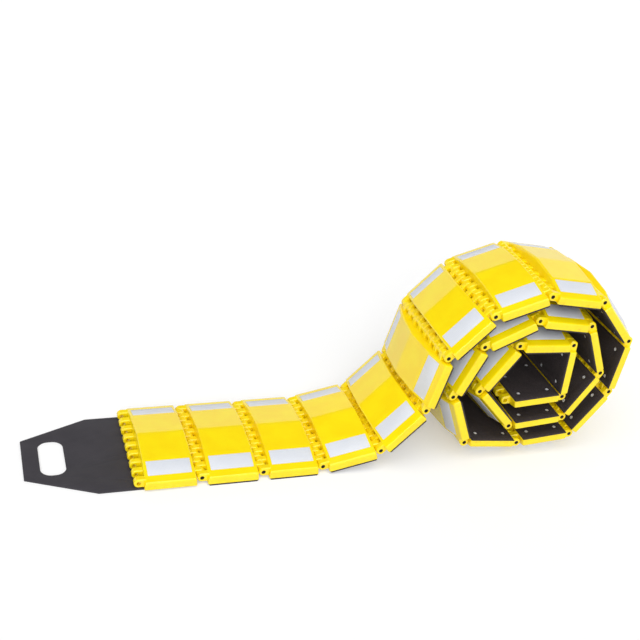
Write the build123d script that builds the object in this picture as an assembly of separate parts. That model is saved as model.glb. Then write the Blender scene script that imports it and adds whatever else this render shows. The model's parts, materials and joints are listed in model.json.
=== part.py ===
"""Roll-up portable speed bump: a strip of hinged hump segments.

The strip is laid out at its tail and rolled up at its other end, with the pads inside the roll.
Frame: X runs along the strip, Y across it, Z up. The three laid-out segments rest their pads on z = 0.
All sizes are in millimetres and all angles in degrees.
"""
import math
import os

from build123d import *

# The strip
SEGMENTS = 26
PITCH = 115.0              # from hinge pin to hinge pin
WIDTH = 248.0
APEX_H = 40.4              # pad underside to the point where the two inner slopes would meet
RIDGE_R = 50.0             # rounding of the ridge
INNER_SLOPE = 6.0          # from the ridge to the shoulder
SHOULDER_FROM_SIDE = 52.0  # where the slope steepens, in from the side lip
SHOULDER_R = 40.0
LIP_H = 17.5               # pad underside to the crease above the side lip
LIP_R = 4.0
END_R = 3.2                # rounding of the segment's end edges
END_DRAFT = 5.0            # lean of the end walls from the base to the crest

# The moulding's inside
WALL = 4.0
RIB_T = 3.0
CROSS_RIBS = 3             # ribs along the strip, spread over the width
BOSS_R = 6.0

# The hinges
PIN_R = 4.0
PIN_Z = 12.5               # pad underside to the pin's axis
PIN_CLEARANCE = 0.3        # round the pin, in the knuckles that turn on it
PIN_RECESS = 0.5           # pin end below the outer knuckle's face
KNUCKLE_R = 8.6
KNUCKLE_SLOTS = 17         # nine on a segment's tail end and eight on the next one's facing end
KNUCKLE_GAP = 0.5          # between neighbouring knuckles
KNUCKLE_BEVEL = 1.6
KNUCKLE_INSET = 8.0        # outermost knuckle slot back from the side lip
WALL_GAP = 0.9             # between a knuckle and the end wall that it faces
NICHE_R = 2.0              # drain niche in the end wall, behind each facing knuckle
NICHE_RISE = 3.0           # niche's roof above the knuckle's top
FOLD_LIMIT = 92.0          # bend at which the mitred base ends of two segments meet
MITRE_GAP = 0.4
HINGE_SPARE = 2.0          # bend kept clear of either stop in the stored roll

# The rubber pads, screws and reflective strips
PAD_T = 3.0
PAD_CORNER_R = 3.0
SCREW_R = 2.0
SCREW_HEAD_R = 3.8
SCREW_HEAD_H = 1.8
SCREW_DEPTH = 12.0         # thread length above the pad
SCREW_FIT = 0.1
HEAD_RECESS = 0.2          # screw head below the pad's underside
HEAD_FIT = 0.5
SCREW_FROM_PIN = 27.0
SCREW_FROM_SIDE = 23.5
SCREW_BY_RIB = 9.0         # middle screw beside the middle rib
SCREW_SPREAD = 76.0        # between the two inner screws by the head hinge
STRIP_L = 80.0
STRIP_W = 32.5
STRIP_T = 0.8
STRIP_RECESS = 0.5
STRIP_FIT = 0.4
STRIP_CORNER_R = 1.0
STRIP_FROM_SIDE = 16.5     # lower edge of the strip in from the side lip

# The pull tab
TAB_INSET = 7.0            # tab's edge in from the side lip
TAB_TAPER = 57.0           # narrowing of each edge from the shoulder to the end
TAB_SHOULDER = 70.0        # full-width part past the first segment's free hinge line
TAB_TAPER_L = 125.0        # from the shoulder to the end
TAB_SHOULDER_R = 6.0
TAB_END_R = 2.0
HAND_W = 46.0
HAND_R = 20.0
HAND_END_GAP = 30.0        # rubber between the hand hole and the tab's end
HAND_SIDE_GAP = 6.0        # hole's end inside the corner of the tab's end

# The stored shape: hinges 1 and 2 lie flat, hinge 3 is set so that the roll stands on the ground
LEAD_IN = (34, 30)
OUTER_TURN = (-30, -28, -27, -41, -48, -28, -49, -11)
MIDDLE_TURN = (-63, -45, -41, -34, -59, -55, -52)
CORE = (-53, -77, -58, -87, -86)
ROLL_GAP = 0.6             # least space between the layers of the roll
EASE_STEP = 0.01

SHOULDER_Y = WIDTH / 2 - SHOULDER_FROM_SIDE
SHOULDER_H = APEX_H - SHOULDER_Y * math.tan(math.radians(INNER_SLOPE))
OUTER_SLOPE = math.degrees(math.atan2(SHOULDER_H - LIP_H, SHOULDER_FROM_SIDE))
CREST_H = APEX_H - RIDGE_R * (1 / math.cos(math.radians(INNER_SLOPE)) - 1)
END_SETBACK = KNUCKLE_R + WALL_GAP
END_LEAN = (CREST_H - PAD_T) * math.tan(math.radians(END_DRAFT))
MITRE = math.tan(math.radians(FOLD_LIMIT / 2))
BASE_SETBACK = PIN_Z * MITRE + MITRE_GAP
MITRE_TOP = PIN_Z - (END_SETBACK - MITRE_GAP) / MITRE
LEAN_LIMIT = 2 * math.degrees(math.atan2(END_SETBACK, CREST_H - PIN_Z))
KNUCKLE_ROW = WIDTH - 2 * KNUCKLE_INSET
SLOT = KNUCKLE_ROW / KNUCKLE_SLOTS
TAB_W = WIDTH - 2 * TAB_INSET
TAB_END_W = TAB_W - 2 * TAB_TAPER
TAB_REACH = TAB_SHOULDER + TAB_TAPER_L
HAND_L = TAB_END_W - 2 * HAND_SIDE_GAP
HAND_AT = TAB_REACH - HAND_END_GAP - HAND_W / 2


def slope_height(y):
    """Height of the outer slope's surface at a distance from the centre line."""
    return LIP_H + (WIDTH / 2 - y) * math.tan(math.radians(OUTER_SLOPE))


def slot_middle(slot):
    return (slot - (KNUCKLE_SLOTS - 1) / 2) * SLOT


def screw_spots():
    """Three screws by the tail hinge and four by the head hinge."""
    outer = WIDTH / 2 - SCREW_FROM_SIDE
    inner = min(SCREW_SPREAD / 2, outer - 2 * BOSS_R)
    tail = [(SCREW_FROM_PIN, y) for y in (-outer, -SCREW_BY_RIB, outer)]
    head = [(PITCH - SCREW_FROM_PIN, y) for y in (-outer, -inner, inner, outer)]
    return tail + head


def across(outline, x0, x1):
    """Solid with the same outline across the strip from x0 to x1."""
    return Pos(x0, 0, 0) * extrude(Plane.YZ * outline, amount=x1 - x0)


def along(outline, y0, y1):
    """Solid with the same side outline from y0 to y1."""
    return Pos(0, y0, 0) * extrude(Plane.XZ * outline, amount=y0 - y1)


def rod(x, radius, length):
    """Cylinder on a hinge line."""
    return Pos(x, 0, PIN_Z) * Rot(90, 0, 0) * Cylinder(radius, length)


def hump_outline(half, base, drop):
    """Section across the hump: side lips, outer slopes to the shoulders, inner slopes to the ridge."""
    right = [(half, base), (half, slope_height(half) - drop), (SHOULDER_Y, SHOULDER_H - drop)]
    left = [(-y, z) for y, z in reversed(right)]
    return make_face(Polyline(*right, (0, APEX_H - drop), *left, close=True))


def mitre_wedges():
    """Space below the two hinge lines that lets the next segment fold under."""
    wedge = Polyline((0, PIN_Z), (0, -1), (BASE_SETBACK + MITRE, -1), (MITRE_GAP, PIN_Z), close=True)
    wedge = along(make_face(wedge), -WIDTH, WIDTH)
    return [wedge, Pos(PITCH, 0, 0) * Rot(0, 0, 180) * wedge]


def shell():
    """Hump with leaning end walls, rounded end edges, mitred base ends and a hollow, ribbed underside."""
    outline = hump_outline(WIDTH / 2, PAD_T, 0)
    for height, radius in ((APEX_H, RIDGE_R), (SHOULDER_H, SHOULDER_R), (LIP_H, LIP_R)):
        corners = outline.vertices().filter_by(lambda v: abs(v.Y - height) < 1e-6)
        outline = fillet(corners, radius)
    hump = across(outline, END_SETBACK, PITCH - END_SETBACK)
    corners = [(0, PAD_T), (END_SETBACK, PAD_T), (END_SETBACK + END_LEAN, CREST_H), (0, CREST_H)]
    draft = along(make_face(Polyline(*corners, close=True)), -WIDTH, WIDTH)
    hump -= [draft, Pos(PITCH, 0, 0) * Rot(0, 0, 180) * draft]
    ends = hump.faces().sort_by(Axis.X)
    rims = [e for face in (ends[0], ends[-1]) for e in face.edges() if e.center().Z > PAD_T + 1e-6]
    hump = fillet(rims, END_R)

    hump -= mitre_wedges()

    inside = hump_outline(WIDTH / 2 - WALL, 0, WALL / math.cos(math.radians(OUTER_SLOPE)))
    end = END_SETBACK + END_LEAN + WALL
    hollow = across(inside, end, PITCH - end)
    for rib in range(CROSS_RIBS):
        y = WIDTH * ((rib + 1) / (CROSS_RIBS + 1) - 0.5)
        hollow -= Pos(PITCH / 2, y, 0) * Box(PITCH, RIB_T, 2 * APEX_H)
    hollow -= Pos(PITCH / 2, 0, 0) * Box(RIB_T, WIDTH, 2 * APEX_H)
    hollow -= [Pos(x, y, 0) * Cylinder(BOSS_R, 2 * APEX_H) for x, y in screw_spots()]
    hump -= hollow
    top = PAD_T + SCREW_DEPTH + 1
    return hump - [Pos(x, y, top / 2) * Cylinder(SCREW_R + SCREW_FIT, top) for x, y in screw_spots()]


def knuckle():
    """Hinge knuckle on the pin's axis with bevelled rims and a root that runs into the end wall."""
    root = END_SETBACK + END_R + 0.5
    outline = Circle(KNUCKLE_R) + Pos(root / 2, 0) * Rectangle(root, 2 * KNUCKLE_R)
    half = (SLOT - KNUCKLE_GAP) / 2
    body = Pos(0, 0, PIN_Z) * along(outline, -half, half)
    rims = [e for e in body.edges() if abs(e.center().Y) > half - 1e-6 and e.center().X < root - 1e-6]
    return chamfer(rims, KNUCKLE_BEVEL)


def strip_on_slope(side, margin, thickness):
    """Sheet that starts at the recess floor on one outer slope."""
    y = WIDTH / 2 - STRIP_FROM_SIDE - STRIP_W / 2 * math.cos(math.radians(OUTER_SLOPE))
    sheet = RectangleRounded(STRIP_L + 2 * margin, STRIP_W + 2 * margin, STRIP_CORNER_R + margin)
    seat = Pos(PITCH / 2, side * y, slope_height(y)) * Rot(-side * OUTER_SLOPE, 0, 0)
    return seat * Pos(0, 0, -STRIP_RECESS) * extrude(sheet, amount=thickness)


def moulding():
    """One yellow segment: nine knuckles towards the tail, eight towards the roll."""
    far_end = Pos(PITCH, 0, 0) * Rot(0, 0, 180)
    lobe = knuckle()
    tail = range(0, KNUCKLE_SLOTS, 2)
    head = range(1, KNUCKLE_SLOTS, 2)
    body = shell() + [Pos(0, slot_middle(s), 0) * lobe for s in tail]
    body += [Pos(0, slot_middle(s), 0) * far_end * lobe for s in head]

    bore = 2 * WIDTH
    cuts = [rod(0, PIN_R, bore), rod(PITCH, PIN_R + PIN_CLEARANCE, bore)]
    niche_h = KNUCKLE_R + NICHE_RISE
    niche = Pos(0, 0, PIN_Z + niche_h / 2) * Cylinder(NICHE_R, niche_h)
    cuts += [Pos(END_SETBACK, slot_middle(s), 0) * niche for s in head]
    cuts += [Pos(PITCH - END_SETBACK, slot_middle(s), 0) * niche for s in tail[1:-1]]
    cuts += [strip_on_slope(side, STRIP_FIT, 2 * STRIP_T) for side in (-1, 1)]
    return body - cuts


def base_sheet(outline):
    """Rubber sheet with a stepped hole for each screw."""
    sheet = extrude(outline, amount=PAD_T)
    seat = HEAD_RECESS + SCREW_HEAD_H
    holes = [Pos(x, y, 0) * Cylinder(SCREW_R + SCREW_FIT, 4 * PAD_T) for x, y in screw_spots()]
    holes += [Pos(x, y, seat / 2) * Cylinder(SCREW_HEAD_R + HEAD_FIT, seat) for x, y in screw_spots()]
    return sheet - holes


def pad():
    """Sheet with both ends cut to the mitre of the moulding above it."""
    length = PITCH - 2 * (BASE_SETBACK - PAD_T * MITRE)
    outline = Pos(PITCH / 2, 0) * RectangleRounded(length, WIDTH, PAD_CORNER_R)
    return base_sheet(outline) - mitre_wedges()


def pull_tab():
    """Sheet in place of the first segment's pad, run out to a tapered tab with a hand hole."""
    inner = PITCH - BASE_SETBACK
    near = [(inner, -TAB_W / 2), (-TAB_SHOULDER, -TAB_W / 2), (-TAB_REACH, -TAB_END_W / 2)]
    far = [(x, -y) for x, y in reversed(near)]
    outline = make_face(Polyline(*near, *far, close=True))
    by_x = outline.vertices().group_by(Axis.X)
    outline = fillet(by_x[0], TAB_END_R)
    shoulders = outline.vertices().filter_by(lambda v: abs(v.X + TAB_SHOULDER) < 1e-6)
    outline = fillet(shoulders, TAB_SHOULDER_R)
    outline = fillet(outline.vertices().group_by(Axis.X)[-1], PAD_CORNER_R)
    return base_sheet(outline - Pos(-HAND_AT, 0) * RectangleRounded(HAND_W, HAND_L, HAND_R))


def screws():
    """Screws up through the base sheet into the moulding's bosses."""
    shank_h = PAD_T + SCREW_DEPTH - HEAD_RECESS
    head = Pos(0, 0, HEAD_RECESS + SCREW_HEAD_H / 2) * Cylinder(SCREW_HEAD_R, SCREW_HEAD_H)
    screw = head + Pos(0, 0, HEAD_RECESS + shank_h / 2) * Cylinder(SCREW_R, shank_h)
    return [Pos(x, y, 0) * screw for x, y in screw_spots()]


def strips():
    return [strip_on_slope(side, 0, STRIP_T) for side in (-1, 1)]


def chain(bends):
    """Place of every segment's tail hinge, as x, z and tilt, for a list of bends."""
    x, z, tilt = 0.0, PIN_Z, 0.0
    places = []
    for bend in [*bends, 0]:
        places.append((x, z, tilt))
        x += PITCH * math.cos(math.radians(tilt))
        z += PITCH * math.sin(math.radians(tilt))
        tilt += bend
    return places


def side_outline(place):
    """Corners of a segment's side view at the ridge."""
    x, z, tilt = place
    c, s = math.cos(math.radians(tilt)), math.sin(math.radians(tilt))
    local = [(BASE_SETBACK, 0), (PITCH - BASE_SETBACK, 0), (PITCH - END_SETBACK, MITRE_TOP),
             (PITCH - END_SETBACK, CREST_H), (END_SETBACK, CREST_H), (END_SETBACK, MITRE_TOP)]
    return [(x + u * c - (v - PIN_Z) * s, z + u * s + (v - PIN_Z) * c) for u, v in local]


def space_between(first, second):
    """Widest clear band between two side views, along any of their edges."""
    widest = -math.inf
    for one, other in ((first, second), (second, first)):
        for (x0, z0), (x1, z1) in zip(one, one[1:] + one[:1]):
            length = math.hypot(x1 - x0, z1 - z0)
            nx, nz = (z1 - z0) / length, (x0 - x1) / length
            reach = min(nx * (x - x0) + nz * (z - z0) for x, z in other)
            widest = max(widest, reach)
    return widest


def standing(bends):
    """Bends with hinge 3 set so that the lowest ridge of the roll just meets the ground."""
    low, high = 0.0, FOLD_LIMIT / 2
    for _ in range(40):
        lift = (low + high) / 2
        roll = chain([0, 0, lift, *bends])[3:]
        if min(z for place in roll for _, z in side_outline(place)) < 0:
            low = lift
        else:
            high = lift
    return [0, 0, high, *bends]


def stored_bends():
    """Bend of every hinge in the stored shape, eased open until no two layers touch."""
    lead_in = [min(b, LEAN_LIMIT - HINGE_SPARE) for b in LEAD_IN]
    roll = [max(b, HINGE_SPARE - FOLD_LIMIT) for b in OUTER_TURN + MIDDLE_TURN + CORE]
    ease = 1.0
    while True:
        bends = standing(lead_in + [b * ease for b in roll])
        views = [side_outline(place) for place in chain(bends)]
        layers = [(i, j) for i in range(SEGMENTS) for j in range(i + 2, SEGMENTS)]
        if all(space_between(views[i], views[j]) >= ROLL_GAP for i, j in layers):
            return bends
        ease -= EASE_STEP


def main():
    bends = stored_bends()
    places = chain(bends)
    segment = moulding()
    tab = pull_tab()
    first_fittings = screws() + strips()
    fittings = first_fittings + [pad(), rod(0, PIN_R, KNUCKLE_ROW - KNUCKLE_GAP - 2 * PIN_RECESS)]

    nodes = {}
    for number, (x, z, tilt) in enumerate(places, start=1):
        place = Pos(x, 0, z) * Rot(0, -tilt, 0) * Pos(0, 0, -PIN_Z)
        pieces = first_fittings if number == 1 else fittings
        nodes[f"segment_{number:02d}"] = place * segment
        nodes[f"fittings_{number:02d}"] = Compound([place * piece for piece in pieces])
    nodes["pull_tab"] = tab

    boxes = [shape.bounding_box() for shape in nodes.values()]
    middle = (min(box.min.X for box in boxes) + max(box.max.X for box in boxes)) / 2
    to_origin = Pos(-middle, 0, 0)
    os.makedirs("parts", exist_ok=True)
    for name, shape in nodes.items():
        export_step(to_origin * shape, f"parts/{name}.step")

    for number, ((x, z, tilt), bend) in enumerate(zip(places[1:], bends), start=1):
        print(f"hinge {number:02d}  x {x - middle:9.4f}  z {z:9.4f}  bend {bend:8.4f}  tilt {tilt:9.4f}")
    print(f"lean limit {LEAN_LIMIT:.2f}, first hinge line at x {-middle:.4f}")


main()
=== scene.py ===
"""Roll-up portable speed bump of yellow hinged segments: three lie flat, three rise, the rest are rolled."""
import json
import math

import bmesh
import bpy
import numpy as np
from mathutils import Matrix, Vector


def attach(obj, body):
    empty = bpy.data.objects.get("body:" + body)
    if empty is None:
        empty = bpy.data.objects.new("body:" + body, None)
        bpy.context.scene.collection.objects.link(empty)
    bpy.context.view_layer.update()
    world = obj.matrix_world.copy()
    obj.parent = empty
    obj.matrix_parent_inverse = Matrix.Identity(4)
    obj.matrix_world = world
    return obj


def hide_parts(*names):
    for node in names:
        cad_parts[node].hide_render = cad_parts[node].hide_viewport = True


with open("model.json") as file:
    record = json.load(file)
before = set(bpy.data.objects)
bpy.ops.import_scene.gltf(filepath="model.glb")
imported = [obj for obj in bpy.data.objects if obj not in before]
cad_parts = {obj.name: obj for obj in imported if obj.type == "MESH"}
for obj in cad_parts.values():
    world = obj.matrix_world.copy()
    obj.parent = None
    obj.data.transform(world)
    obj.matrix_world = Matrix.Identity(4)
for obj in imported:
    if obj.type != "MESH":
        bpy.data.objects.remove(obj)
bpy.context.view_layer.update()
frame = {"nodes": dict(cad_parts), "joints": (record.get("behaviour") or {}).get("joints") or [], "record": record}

MM = 0.001

# The strip, in millimetres
SEGMENTS = 26
PITCH = 115.0            # hinge pin to hinge pin
WIDTH = 248.0
PIN_Z = 12.5             # pad underside to the pin's axis
END_WALL = 9.5           # segment's end wall behind the pin's axis
LIP_TOP = 5.0            # side lip above the pin's axis
LAST_BEND = -86.0        # innermost hinge, in degrees

# Screws, in millimetres
SCREW_FROM_PIN = 27.0
SCREW_FROM_SIDE = 23.5
SCREW_BY_RIB = 9.0       # middle screw of the tail row, beside the middle rib
SCREW_SPREAD = 76.0      # between the inner screws of the head row
SCREW_SIDES = 12
SCREW_HEAD_R = 3.8
SCREW_FACE_R = 2.2       # flat middle of the head
SCREW_HEAD_LOW = 0.2     # head's face above the pad's underside
SCREW_HEAD_TOP = 2.0
SCREW_DOME = ((0.0, 1.25), (0.35, 0.70), (1.0, 0.36))    # inset and height around the head
SCREW_SHANK_R = 2.0
SCREW_TIP = 15.0
SCREW_TIP_R = 0.5
SCREW_TAPER = 3.0        # length of the point
CROSS_ARM = 1.75
CROSS_HALF = 0.45        # half of an arm's width
CROSS_DEPTH = 1.0
CROSS_FLOOR = 0.7        # recess floor's share of its brim

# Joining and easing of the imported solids' meshes
WELD = 2e-6              # metres
PAD_EASE, PIN_EASE, STRIP_EASE, TAB_EASE = 0.35, 0.5, 0.12, 0.5    # millimetres
EASE_SEGMENTS = 2
FLAT_ANGLE, EASE_ANGLE = math.radians(0.5), math.radians(40)
SHARP_ANGLE, SCREW_SHARP_ANGLE = math.radians(38), math.radians(35)

# Camera fitted to the hinge pins in the photograph
CAMERA_AT = (-0.65825, -1.73147, 1.24192)
CAMERA_TURN = (19.69, 28.036, 6.479)    # azimuth, elevation and roll, in degrees
FOCAL_PX, PHOTO_PX = 1123.05, 640
SENSOR = 36.0
NEAR, FAR = 0.05, 60.0

# Studio, in metres; the room's values are parts of a direction
LAMPS = {                # direction, spread in degrees and power
    "front_lamp": ((-0.44, -1.0, 0.56), 26, 0.88),
    "top_lamp": ((-0.12, -0.40, 1.0), 74, 2.14)}
LAMP_AWAY = 3
FLOOR_HALF = 20.0
FLOOR_DROP = 0.0004      # keeps the floor clear of the pads' undersides
FLOOR_GLOW = 0.34        # brings the lit floor up to white where it is seen
ROOM_TURNS = 0.455, 0.51     # heights between which the room goes from white to dark
ROOM_DARK = 0.10             # grey level of the dark
LEFT_ENDS = -0.55, -0.30     # between these the left of the room ends
LEFT_DROP = 0.22             # how much lower the dark starts there

MIX_FACTOR, MIX_A, MIX_B, MIX_RESULT = 0, 6, 7, 2    # a Mix node's sockets for colours


def new_object(name, data):
    """Object linked to the scene."""
    made = bpy.data.objects.new(name, data)
    bpy.context.scene.collection.objects.link(made)
    return made


# Camera

def photo_camera():
    """Camera at the photograph's viewing angle."""
    azimuth, elevation, roll = (math.radians(a) for a in CAMERA_TURN)
    right = Vector((math.cos(azimuth), -math.sin(azimuth), 0))
    ahead = Vector((math.sin(azimuth) * math.cos(elevation), math.cos(azimuth) * math.cos(elevation),
                    -math.sin(elevation)))
    up = right.cross(ahead)
    rolled_right = right * math.cos(roll) + up * math.sin(roll)
    rolled_up = up * math.cos(roll) - right * math.sin(roll)
    turn = Matrix((rolled_right, rolled_up, -ahead)).transposed().to_4x4()
    data = bpy.data.cameras.new("photo_camera")
    data.sensor_width = SENSOR
    data.lens = FOCAL_PX / PHOTO_PX * SENSOR
    data.clip_start, data.clip_end = NEAR, FAR
    camera = new_object("photo_camera", data)
    camera.matrix_world = Matrix.Translation(CAMERA_AT) @ turn
    bpy.context.scene.camera = camera


# Finishes

class Wire:
    """A socket in a node tree. Sums on wires add Math nodes."""

    def __init__(self, tree, socket=None):
        self.tree = tree
        self.socket = socket

    def node(self, kind, settings=None, sockets=None, out=0):
        """New node with its settings, and its sockets set or linked; gives one of its outputs."""
        made = self.tree.nodes.new(kind)
        for key, value in (settings or {}).items():
            setattr(made, key, value)
        for key, value in (sockets or {}).items():
            if isinstance(value, Wire):
                self.tree.links.new(value.socket, made.inputs[key])
            else:
                made.inputs[key].default_value = value
        return Wire(self.tree, made.outputs[out] if made.outputs else None)

    def sum_of(self, operation, first, second):
        return self.node("ShaderNodeMath", {"operation": operation}, {0: first, 1: second})

    def __add__(self, other):
        return self.sum_of("ADD", self, other)

    __radd__ = __add__

    def __sub__(self, other):
        return self.sum_of("SUBTRACT", self, other)

    def __rsub__(self, other):
        return self.sum_of("SUBTRACT", other, self)

    def __mul__(self, other):
        return self.sum_of("MULTIPLY", self, other)

    __rmul__ = __mul__

    def larger(self, other):
        return self.sum_of("MAXIMUM", self, other)

    def size(self):
        """Value without its sign."""
        return self.node("ShaderNodeMath", {"operation": "ABSOLUTE"}, {0: self})

    def parts(self):
        """X, Y and Z of a vector."""
        outs = self.node("ShaderNodeSeparateXYZ", sockets={0: self}).socket.node.outputs
        return [Wire(self.tree, out) for out in outs]

    def fade(self, start, end):
        """0 at start, 1 at end, smooth between."""
        return self.node("ShaderNodeMapRange", {"interpolation_type": "SMOOTHSTEP"},
                         {"Value": self, "From Min": start, "From Max": end, "To Min": 0.0, "To Max": 1.0})

    def tint(self, low, high):
        """Colour between two colours."""
        return self.node("ShaderNodeMix", {"data_type": "RGBA"},
                         {MIX_FACTOR: self, MIX_A: low, MIX_B: high}, out=MIX_RESULT)


class Finish:
    """A material with the object's own coordinates and the place on its segment."""

    def __init__(self, name):
        self.material = bpy.data.materials.new(name)
        self.material.use_nodes = True
        self.tree = self.material.node_tree
        self.tree.nodes.clear()
        self.start = Wire(self.tree)
        self.at = self.start.node("ShaderNodeTexCoord", out="Object")

    def on_segment(self):
        """Place on the segment, in millimetres from its tail pin."""
        return self.start.node("ShaderNodeAttribute", {"attribute_name": "on_segment"}, out="Vector")

    def noise(self, per_metre, seed, detail=3.0, rough=0.6, at=None):
        return self.start.node("ShaderNodeTexNoise", {"noise_dimensions": "4D"},
                               {"Vector": at or self.at, "W": seed, "Scale": per_metre, "Detail": detail,
                                "Roughness": rough})

    def bump(self, height, strength, depth_mm, under=None):
        sockets = {"Height": height, "Strength": strength, "Distance": depth_mm * MM}
        if under:
            sockets["Normal"] = under
        return self.start.node("ShaderNodeBump", sockets=sockets)

    def surface(self, **sockets):
        """Closes the finish: each name is a shader socket's, in small letters."""
        named = {key.replace("_", " ").title().replace("Ior", "IOR"): value for key, value in sockets.items()}
        shader = self.start.node("ShaderNodeBsdfPrincipled", sockets=named)
        self.start.node("ShaderNodeOutputMaterial", sockets={"Surface": shader})
        return self.material


def rgb(red, green, blue):
    return (red, green, blue, 1.0)


def grey(level):
    return rgb(level, level, level)


def yellow_moulding():
    """Satin moulded plastic: faint flow mottling, fine grain, paler rubbed edges, painted shade low at the hinges.
    """
    deep, light = rgb(0.99, 0.735, 0.002), rgb(1.0, 0.790, 0.003)
    rubbed, painted_shade_orange = rgb(1.0, 0.82, 0.10), rgb(0.42, 0.25, 0.02)
    f = Finish("yellow_moulding")
    x, y, z = f.on_segment().parts()
    mottle = f.noise(22.0, seed=1.0, rough=0.55)
    speck = f.noise(900.0, seed=2.0, detail=2.0)
    colour = mottle.fade(0.35, 0.68).tint(deep, light)

    end_wall, side = PITCH / 2 - END_WALL, WIDTH / 2
    from_middle = y.size()
    end_edge = (x - PITCH / 2).size().fade(end_wall - 3.5, end_wall - 0.4) * z.fade(-4.5, LIP_TOP)
    lip_edge = from_middle.fade(side - 4.5, side - 0.6) * z.fade(1.0, LIP_TOP - 1.0)
    ridge = 1.0 - from_middle.fade(1.0, 7.0)
    rub = f.noise(240.0, seed=3.0, detail=4.0, rough=0.65).fade(0.50, 0.72)
    worn = (end_edge.larger(lip_edge) * 0.30 + ridge * 0.20) * rub
    colour = worn.tint(colour, rubbed)

    # Painted shade: darker orange patches low down at the hinges, between the knuckles, made a little rougher
    # there.
    low = 1.0 - z.fade(-8.0, 3.0)
    painted_hinge_shade = low * f.noise(130.0, seed=4.0, detail=4.0, rough=0.7).fade(0.46, 0.75) * 0.35
    colour = painted_hinge_shade.tint(colour, painted_shade_orange)

    grain = f.bump(speck, 0.16, 0.12)
    waves = f.noise(34.0, seed=5.0, detail=1.0, rough=0.4)
    rough = 0.09 + mottle * 0.05 + speck * 0.04 + worn * 0.16 + painted_hinge_shade * 0.3
    return f.surface(base_color=colour, roughness=rough, normal=f.bump(waves, 0.10, 0.8, grain), ior=1.55)


def reflective_sheeting():
    """Pale retroreflective sheet: a net of small cells under a clear film, with painted glints."""
    dull, bright = rgb(0.71, 0.74, 0.80), rgb(0.745, 0.775, 0.83)
    seam, painted_glint = rgb(0.65, 0.68, 0.745), rgb(0.90, 0.90, 0.93)
    f = Finish("reflective_sheeting")
    net = f.start.node("ShaderNodeTexVoronoi", {"feature": "DISTANCE_TO_EDGE", "voronoi_dimensions": "2D"},
                       {"Vector": f.on_segment(), "Scale": 0.42, "Randomness": 0.0})
    cell = net.fade(0.02, 0.14)
    cloud = f.noise(30.0, seed=7.0, rough=0.5)
    colour = cell.tint(seam, cloud.fade(0.3, 0.7).tint(dull, bright))
    # Painted glints: tiny paler specks in the sheet's colour.
    painted_glint_spots = f.noise(1500.0, seed=8.0, detail=1.0, rough=0.5).fade(0.60, 0.75)
    colour = (painted_glint_spots * 0.35).tint(colour, painted_glint)
    return f.surface(base_color=colour, roughness=0.34 + cloud * 0.12, normal=f.bump(cell, 0.06, 0.05),
                     coat_weight=0.15, coat_roughness=0.2)


def pad_rubber():
    """Matt black recycled rubber with fine granules and a few paler crumbs."""
    black, worn_black = rgb(0.025, 0.018, 0.018), rgb(0.055, 0.043, 0.043)
    pale_crumb, dusty = rgb(0.085, 0.075, 0.085), rgb(0.060, 0.052, 0.055)
    f = Finish("pad_rubber")
    grit = f.start.node("ShaderNodeTexVoronoi", {"feature": "F1"}, {"Vector": f.at, "Scale": 520.0})
    crumb = f.noise(700.0, seed=11.0, detail=2.0)
    dust = f.noise(40.0, seed=12.0, detail=4.0)
    colour = crumb.fade(0.42, 0.70).tint(black, worn_black)
    colour = (crumb.fade(0.66, 0.74) * 0.6).tint(colour, pale_crumb)
    colour = (dust.fade(0.55, 0.78) * 0.35).tint(colour, dusty)
    relief = f.bump(grit + crumb * 0.5, 0.35, 0.25)
    return f.surface(base_color=colour, roughness=0.74 + dust * 0.16, normal=relief, specular_ior_level=0.4)


def tab_rubber():
    """Dark grey rubber sheet with a fine calendered grain and light scuffs."""
    dark, light = rgb(0.033, 0.030, 0.037), rgb(0.043, 0.039, 0.047)
    scuffed, grainy = rgb(0.090, 0.086, 0.095), rgb(0.072, 0.068, 0.076)
    f = Finish("tab_rubber")
    grain = f.noise(1100.0, seed=21.0, detail=2.0, rough=0.55)
    cloud = f.noise(16.0, seed=22.0, detail=4.0)
    streak = f.start.node("ShaderNodeMapping", sockets={"Vector": f.at, "Scale": (30.0, 420.0, 60.0)})
    scuff = f.noise(1.0, seed=23.0, at=streak)
    colour = cloud.fade(0.3, 0.7).tint(dark, light)
    colour = (scuff.fade(0.60, 0.78) * 0.30).tint(colour, scuffed)
    colour = (grain.fade(0.58, 0.75) * 0.35).tint(colour, grainy)
    return f.surface(base_color=colour, roughness=0.60 + cloud * 0.12 + scuff * 0.06,
                     normal=f.bump(grain, 0.25, 0.15), specular_ior_level=0.4)


def screw_steel():
    """Bright plated steel with turning marks."""
    bright, tarnished = rgb(0.93, 0.93, 0.94), grey(0.82)
    f = Finish("screw_steel")
    brush = f.noise(1400.0, seed=31.0)
    colour = f.noise(160.0, seed=32.0).fade(0.35, 0.75).tint(bright, tarnished)
    return f.surface(base_color=colour, metallic=0.6, roughness=0.40 + brush * 0.18,
                     normal=f.bump(brush, 0.10, 0.05))


def pin_steel():
    """Blackened steel rod, rubbed a little brighter in patches."""
    black, rubbed = rgb(0.009, 0.008, 0.009), rgb(0.030, 0.028, 0.028)
    f = Finish("pin_steel")
    patch = f.noise(300.0, seed=41.0)
    colour = patch.fade(0.5, 0.8).tint(black, rubbed)
    return f.surface(base_color=colour, roughness=0.58 + patch * 0.2, specular_ior_level=0.2,
                     normal=f.bump(patch, 0.10, 0.05))


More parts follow.
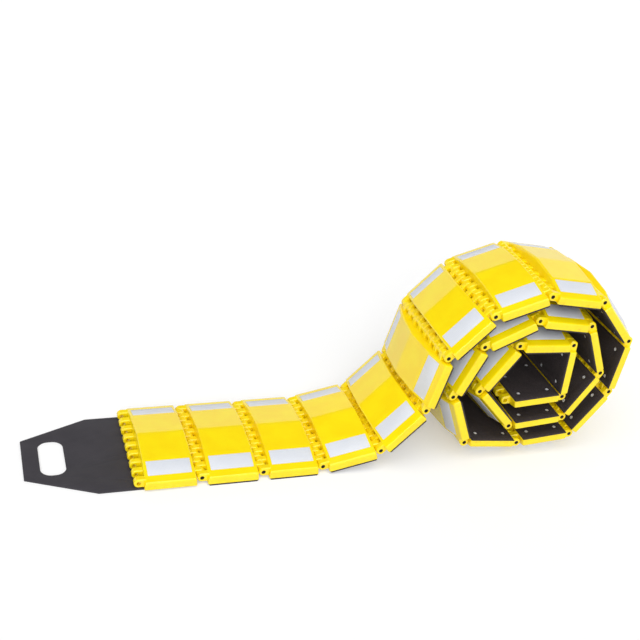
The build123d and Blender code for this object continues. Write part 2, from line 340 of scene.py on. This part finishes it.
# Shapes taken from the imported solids

def segment_places():
    """Matrix, tail pin and tilt of every segment; its own frame has the tail pin as origin, in metres."""
    mounts = {m["name"]: m for m in frame["record"]["mounts"]}
    hinges = {int(j["name"][-2:]): j["pos_m"] for j in frame["joints"]}
    pins = [Vector(mounts["link_bore"]["pos_m"])] + [Vector(hinges[k]) for k in range(1, SEGMENTS)]
    tilts = [math.atan2(b.z - a.z, b.x - a.x) for a, b in zip(pins, pins[1:])]
    tilts.append(tilts[-1] + math.radians(LAST_BEND))
    return [(Matrix.Translation(pin) @ Matrix.Rotation(-tilt, 4, "Y"), pin, tilt)
            for pin, tilt in zip(pins, tilts)]


def welded(node, to_local):
    """Copy of a solid's mesh with its triangles joined, in a segment's own frame, its corner normals kept."""
    mesh = frame["nodes"][node].data.copy()
    aims = np.empty(len(mesh.loops) * 3, np.float32)
    mesh.corner_normals.foreach_get("vector", aims)
    turn = np.array(to_local.to_3x3(), np.float32)
    aims = aims.reshape(-1, 3) @ turn.T
    mesh.transform(to_local)
    mesh.attributes.new("aim", "FLOAT_VECTOR", "CORNER").data.foreach_set("vector", aims.ravel())
    shape = bmesh.new()
    shape.from_mesh(mesh)
    bmesh.ops.remove_doubles(shape, verts=shape.verts, dist=WELD)
    bpy.data.meshes.remove(mesh)
    return shape


def islands(shape):
    """The separate solids in a welded mesh, as lists of faces."""
    left = set(shape.faces)
    groups = []
    while left:
        group, edge = [], [left.pop()]
        while edge:
            face = edge.pop()
            group.append(face)
            for near in (f for e in face.edges for f in e.link_faces if f in left):
                left.discard(near)
                edge.append(near)
        groups.append(group)
    return groups


def sorted_fittings(fittings):
    """Faces of the pad, the pin and the reflective strips, told apart by their reach; no screws."""
    fittings.faces.index_update()
    sorts = {"pad": [], "pin": [], "strips": []}
    for group in islands(fittings):
        spots = np.array([v.co for f in group for v in f.verts]) / MM
        along, across, _ = spots.max(0) - spots.min(0)
        is_long, is_wide = along > 0.5 * PITCH, across > 0.8 * WIDTH
        if is_wide:
            sorts["pad" if is_long else "pin"] += group
        elif is_long:
            sorts["strips"] += group
    return sorts


def keep_faces(shape, faces):
    """Copy of a welded mesh with only some of its faces."""
    kept = shape.copy()
    numbers = {f.index for f in faces}
    bmesh.ops.delete(kept, geom=[f for f in kept.faces if f.index not in numbers], context="FACES")
    return kept


def smooth_mesh(shape, name):
    """Mesh from a welded shape, shaded with the solid's own normals."""
    mesh = bpy.data.meshes.new(name)
    shape.to_mesh(mesh)
    shape.free()
    aims = np.empty(len(mesh.loops) * 3, np.float32)
    mesh.attributes["aim"].data.foreach_get("vector", aims)
    mesh.attributes.remove(mesh.attributes["aim"])
    mesh.shade_smooth()
    mesh.normals_split_custom_set(aims.reshape(-1, 3))
    return mesh


def plain_mesh(blank):
    """What an object's modifiers make, as a mesh; the object itself goes."""
    graph = bpy.context.evaluated_depsgraph_get()
    made = bpy.data.meshes.new_from_object(blank.evaluated_get(graph))
    bare = blank.data
    bpy.data.objects.remove(blank)
    bpy.data.meshes.remove(bare)
    return made


def eased_mesh(shape, name, width_mm):
    """Mesh from a welded shape with its hard edges eased."""
    bmesh.ops.dissolve_limit(shape, angle_limit=FLAT_ANGLE, verts=shape.verts, edges=shape.edges)
    mesh = bpy.data.meshes.new(name)
    shape.to_mesh(mesh)
    shape.free()
    mesh.attributes.remove(mesh.attributes["aim"])
    blank = new_object(name, mesh)
    ease = blank.modifiers.new("ease", "BEVEL")
    ease.width = width_mm * MM
    ease.segments = EASE_SEGMENTS
    ease.limit_method = "ANGLE"
    ease.angle_limit = EASE_ANGLE
    ease.use_clamp_overlap = True
    made = plain_mesh(blank)
    made.name = name
    made.shade_smooth()
    made.set_sharp_from_angle(angle=SHARP_ANGLE)
    return made


def mark_places(mesh):
    """Writes every point's place on its segment, in millimetres from the tail pin."""
    spots = np.empty(len(mesh.vertices) * 3, np.float32)
    mesh.vertices.foreach_get("co", spots)
    mesh.attributes.new("on_segment", "FLOAT_VECTOR", "POINT").data.foreach_set("vector", spots / MM)


def add_piece(name, mesh, material, body, stands_for=()):
    """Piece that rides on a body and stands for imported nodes; without a material its mesh has one already."""
    if material:
        mesh.materials.append(material)
    piece = new_object(name, mesh)
    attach(piece, body)
    for node in stands_for:
        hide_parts(node)


# Screws

def screw_shape():
    """Pan-head screw, head down, with a cross recess; origin on the pad's underside."""
    shape = bmesh.new()

    def ring(radius, height):
        turns = [2 * math.pi * i / SCREW_SIDES for i in range(SCREW_SIDES)]
        return [shape.verts.new((radius * MM * math.cos(turn), radius * MM * math.sin(turn), height * MM))
                for turn in turns]

    profile = [(SCREW_TIP_R, SCREW_TIP), (SCREW_SHANK_R, SCREW_TIP - SCREW_TAPER),
               (SCREW_SHANK_R, SCREW_HEAD_TOP), (SCREW_HEAD_R, SCREW_HEAD_TOP)]
    profile += [(SCREW_HEAD_R - inset, height) for inset, height in SCREW_DOME]
    profile.append((SCREW_FACE_R, SCREW_HEAD_LOW))
    rings = [ring(radius, height) for radius, height in profile]
    shape.faces.new(rings[0])
    for above, below in zip(rings, rings[1:]):
        for i in range(SCREW_SIDES):
            shape.faces.new((above[i - 1], above[i], below[i], below[i - 1]))

    arm, half = CROSS_ARM, CROSS_HALF
    cross = [(arm, -half), (arm, half), (half, half), (half, arm), (-half, arm), (-half, half),
             (-arm, half), (-arm, -half), (-half, -half), (-half, -arm), (half, -arm), (half, -half)]
    brim, floor = ([shape.verts.new((x * share * MM, y * share * MM, height * MM)) for x, y in cross]
                   for share, height in ((1.0, SCREW_HEAD_LOW), (CROSS_FLOOR, SCREW_HEAD_LOW + CROSS_DEPTH)))
    inner = [shape.edges.new((brim[i], brim[i - 1])) for i in range(len(brim))]
    for i in range(len(brim)):
        shape.faces.new((brim[i - 1], brim[i], floor[i], floor[i - 1]))
    shape.faces.new(floor)
    outer = [shape.edges.get((rings[-1][i], rings[-1][i - 1])) for i in range(SCREW_SIDES)]
    bmesh.ops.triangle_fill(shape, use_beauty=True, edges=outer + inner)
    bmesh.ops.recalc_face_normals(shape, faces=shape.faces)
    mesh = bpy.data.meshes.new("pan_head_screw")
    shape.to_mesh(mesh)
    shape.free()
    mesh.shade_smooth()
    mesh.set_sharp_from_angle(angle=SCREW_SHARP_ANGLE)
    return new_object("pan_head_screw", mesh)


def screw_rows_tree(steel):
    """Node tree that sets the screws in a segment's base and puts them at the segment's place."""
    tree = bpy.data.node_groups.new("screw_rows", "GeometryNodeTree")
    inputs = {}
    for name, kind in (("Screw", "Object"), ("Along", "Float"), ("Across", "Float"), ("Inner row", "Float"),
                       ("Head row", "Vector"), ("Middle screw", "Vector"), ("Centre", "Vector"),
                       ("Tilt", "Vector"), ("Place", "Vector")):
        socket = tree.interface.new_socket(name=name, in_out="INPUT", socket_type="NodeSocket" + kind)
        inputs[name] = socket.identifier
    tree.interface.new_socket(name="Geometry", in_out="OUTPUT", socket_type="NodeSocketGeometry")
    given = tree.nodes.new("NodeGroupInput").outputs
    made = tree.nodes.new("NodeGroupOutput").inputs

    def add(kind, **sockets):
        """New node with its sockets linked, or set where a plain value is given; gives its outputs."""
        node = tree.nodes.new(kind)
        for key, value in sockets.items():
            socket = node.inputs[key.replace("_", " ")]
            if isinstance(value, bpy.types.NodeSocket):
                tree.links.new(value, socket)
            else:
                socket.default_value = value
        return node.outputs

    corners = add("GeometryNodeMeshGrid", Size_X=given["Along"], Size_Y=given["Across"], Vertices_X=2,
                  Vertices_Y=2)
    inner = add("GeometryNodeMeshGrid", Size_X=0.0, Size_Y=given["Inner row"], Vertices_X=2, Vertices_Y=2)
    inner = add("GeometryNodeMergeByDistance", Geometry=inner["Mesh"])
    inner = add("GeometryNodeTransform", Geometry=inner["Geometry"], Translation=given["Head row"])
    middle = add("GeometryNodeMeshLine", Start_Location=given["Middle screw"], Count=1)
    spots = tree.nodes.new("GeometryNodeJoinGeometry")
    for row in (corners["Mesh"], inner["Geometry"], middle["Mesh"]):
        tree.links.new(row, spots.inputs["Geometry"])
    screw = add("GeometryNodeObjectInfo", Object=given["Screw"])
    spread = add("GeometryNodeInstanceOnPoints", Points=spots.outputs["Geometry"], Instance=screw["Geometry"])
    centred = add("GeometryNodeTransform", Geometry=spread["Instances"], Translation=given["Centre"])
    placed = add("GeometryNodeTransform", Geometry=centred["Geometry"], Translation=given["Place"],
                 Rotation=given["Tilt"])
    solid = add("GeometryNodeRealizeInstances", Geometry=placed["Geometry"])
    finished = add("GeometryNodeSetMaterial", Geometry=solid["Geometry"], Material=steel)
    tree.links.new(finished["Geometry"], made["Geometry"])
    return tree, inputs


def screw_mesh(tree, inputs, screw, pin, tilt):
    """The screws of one segment as a plain mesh."""
    to_row = (PITCH / 2 - SCREW_FROM_PIN) * MM
    values = {
        "Screw": screw,
        "Along": 2 * to_row,
        "Across": (WIDTH - 2 * SCREW_FROM_SIDE) * MM,
        "Inner row": SCREW_SPREAD * MM,
        "Head row": (to_row, 0.0, 0.0),
        "Middle screw": (-to_row, -SCREW_BY_RIB * MM, 0.0),
        "Centre": (PITCH / 2 * MM, 0.0, -PIN_Z * MM),
        "Tilt": (0.0, -tilt, 0.0),
        "Place": tuple(pin)}
    seat = new_object("screw_seat", bpy.data.meshes.new("screw_seat"))
    rows = seat.modifiers.new("rows", "NODES")
    rows.node_group = tree
    for name, value in values.items():
        rows[inputs[name]] = value
    return plain_mesh(seat)


# The strip

def lay_strip():
    """Every segment's moulding, pad, pin, reflective strips and screws, and the pull tab."""
    places = segment_places()
    to_local = places[1][0].inverted()
    hump = smooth_mesh(welded("segment_02", to_local), "hump")
    fittings = welded("fittings_02", to_local)
    sorts = sorted_fittings(fittings)
    pad = eased_mesh(keep_faces(fittings, sorts["pad"]), "pad", PAD_EASE)
    pin = eased_mesh(keep_faces(fittings, sorts["pin"]), "hinge_pin", PIN_EASE)
    strips = eased_mesh(keep_faces(fittings, sorts["strips"]), "reflectors", STRIP_EASE)
    fittings.free()
    tab = eased_mesh(welded("pull_tab", places[0][0].inverted()), "pull_tab", TAB_EASE)
    for mesh in (hump, pad, pin, strips, tab):
        mark_places(mesh)

    yellow, sheeting = yellow_moulding(), reflective_sheeting()
    black_pad, black_pin = pad_rubber(), pin_steel()
    screw = screw_shape()
    tree, inputs = screw_rows_tree(screw_steel())
    for k, (place, tail_pin, tilt) in enumerate(places, start=1):
        number = f"{k:02d}"
        body = f"body_{number}"
        pieces = [("hump", hump, yellow, "yellow_moulding", f"segment_{number}"),
                  ("reflectors", strips, sheeting, "fittings", f"fittings_{number}")]
        if k > 1:
            pieces += [("pad", pad, black_pad, "fittings"), ("hinge_pin", pin, black_pin, "fittings")]
        else:
            pieces.append(("pull_tab", tab, tab_rubber(), "tab_rubber", "pull_tab"))
        for name, mesh, material, slot, *nodes in pieces:
            copy = mesh.copy()
            copy.transform(place)
            add_piece(f"{name}_{number}", copy, material, body, nodes)
        add_piece(f"screws_{number}", screw_mesh(tree, inputs, screw, tail_pin, tilt), None, body)
    bpy.data.objects.remove(screw)


# Floor and light

def white_floor():
    """Floor that looks white, also in reflections, and keeps the shadow."""
    shape = bmesh.new()
    bmesh.ops.create_grid(shape, x_segments=1, y_segments=1, size=FLOOR_HALF)
    mesh = bpy.data.meshes.new("floor")
    shape.to_mesh(mesh)
    shape.free()
    mesh.transform(Matrix.Translation((0, 0, -FLOOR_DROP)))
    new_object("floor", mesh)
    f = Finish("floor_white")
    paths = f.start.node("ShaderNodeLightPath").socket.node.outputs
    seen, mirrored, through = (Wire(f.tree, paths[f"Is {kind} Ray"])
                               for kind in ("Camera", "Glossy", "Transmission"))
    paper = seen.larger(mirrored).larger(through).tint(grey(0.0), grey(1.0))
    mesh.materials.append(f.surface(base_color=grey(0.68), roughness=0.9, specular_ior_level=0.1,
                                    emission_color=paper, emission_strength=FLOOR_GLOW))


def studio_lamps():
    """A narrow lamp from the front, for the side lips and the recesses, and a broad one overhead."""
    for name, (towards, spread, power) in LAMPS.items():
        data = bpy.data.lights.new(name, "SUN")
        data.angle = math.radians(spread)
        data.energy = power
        lamp = new_object(name, data)
        lamp.location = Vector(towards) * LAMP_AWAY
        lamp.rotation_euler = (-Vector(towards)).to_track_quat("-Z", "Y").to_euler()


def pale_room():
    """Room that is white low down and dark above; the dark starts lower at the left."""
    world = bpy.data.worlds.new("studio")
    bpy.context.scene.world = world
    world.use_nodes = True
    world.node_tree.nodes.clear()
    start = Wire(world.node_tree)
    along, _, height = start.node("ShaderNodeTexCoord", out="Generated").parts()
    left = 1.0 - along.fade(*LEFT_ENDS)
    sky = (height + left * LEFT_DROP).fade(*ROOM_TURNS).tint(grey(1.0), grey(ROOM_DARK))
    shine = start.node("ShaderNodeBackground", sockets={"Color": sky, "Strength": 1.0})
    start.node("ShaderNodeOutputWorld", sockets={"Surface": shine})


bpy.context.scene.view_settings.view_transform = "Standard"
photo_camera()
lay_strip()
white_floor()
studio_lamps()
pale_room()
